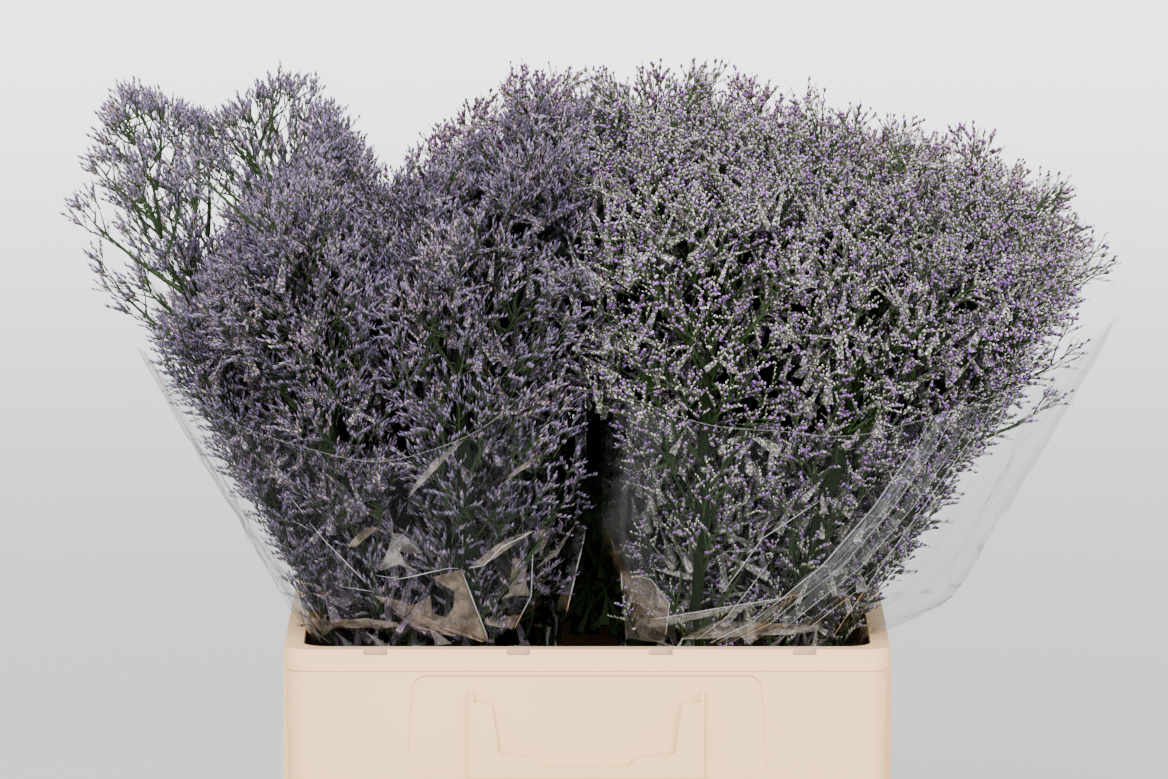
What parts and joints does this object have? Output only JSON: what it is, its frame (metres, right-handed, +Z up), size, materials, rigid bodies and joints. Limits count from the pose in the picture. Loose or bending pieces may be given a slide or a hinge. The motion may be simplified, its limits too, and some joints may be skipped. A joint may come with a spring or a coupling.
{
  "type": "sleeved statice bunches in a flower crate",
  "caption": "Bushy bunches of violet and white sea lavender in clear film sleeves, standing in a cream plastic flower crate with a label holder.",
  "frame": {"origin": "centre of the crate's underside, on the surface it stands on", "axes": "+Z up, -Y out of the crate's long front wall with the label holder, +X to the right seen from the front"},
  "size_m": [0.6735, 0.4648, 0.6805],
  "materials": {
    "crate_plastic": "cream moulded polypropylene, satin, scuffed",
    "clear_film": "clear crinkled polypropylene film, glossy",
    "band_rubber": "tan rubber band, dull",
    "flowers_front_left": "papery lavender-blue florets on dull green stems",
    "flowers_front_right": "papery white calyces with violet corollas on grey-green stems",
    "flowers_back_left": "papery lavender-blue florets on dull green stems",
    "flowers_back_right": "papery violet and white florets on brownish green stems"
  },
  "bodies": {
    "root": {"crate": "crate_plastic", "film_sleeve_front_left": "clear_film", "film_sleeve_front_right": "clear_film", "film_sleeve_back_left": "clear_film", "film_sleeve_back_right": "clear_film", "band_front_left": "band_rubber", "band_front_right": "band_rubber", "band_back_left": "band_rubber", "band_back_right": "band_rubber", "spray_front_left_01": "flowers_front_left", "spray_front_left_02": "flowers_front_left", "spray_front_left_03": "flowers_front_left", "spray_front_left_04": "flowers_front_left", "spray_front_left_05": "flowers_front_left", "spray_front_left_06": "flowers_front_left", "spray_front_left_07": "flowers_front_left", "spray_front_left_08": "flowers_front_left", "spray_front_left_09": "flowers_front_left", "spray_front_left_10": "flowers_front_left", "spray_front_left_11": "flowers_front_left", "spray_front_right_01": "flowers_front_right", "spray_front_right_02": "flowers_front_right", "spray_front_right_03": "flowers_front_right", "spray_front_right_04": "flowers_front_right", "spray_front_right_05": "flowers_front_right", "spray_front_right_06": "flowers_front_right", "spray_front_right_07": "flowers_front_right", "spray_front_right_08": "flowers_front_right", "spray_front_right_09": "flowers_front_right", "spray_front_right_10": "flowers_front_right", "spray_front_right_11": "flowers_front_right", "spray_back_left_01": "flowers_back_left", "spray_back_left_02": "flowers_back_left", "spray_back_left_03": "flowers_back_left", "spray_back_left_04": "flowers_back_left", "spray_back_left_05": "flowers_back_left", "spray_back_left_06": "flowers_back_left", "spray_back_left_07": "flowers_back_left", "spray_back_left_08": "flowers_back_left", "spray_back_left_09": "flowers_back_left", "spray_back_left_10": "flowers_back_left", "spray_back_left_11": "flowers_back_left", "spray_back_right_01": "flowers_back_right", "spray_back_right_02": "flowers_back_right", "spray_back_right_03": "flowers_back_right", "spray_back_right_04": "flowers_back_right", "spray_back_right_05": "flowers_back_right", "spray_back_right_06": "flowers_back_right", "spray_back_right_07": "flowers_back_right", "spray_back_right_08": "flowers_back_right", "spray_back_right_09": "flowers_back_right", "spray_back_right_10": "flowers_back_right", "spray_back_right_11": "flowers_back_right"}
  },
  "joints": []
}
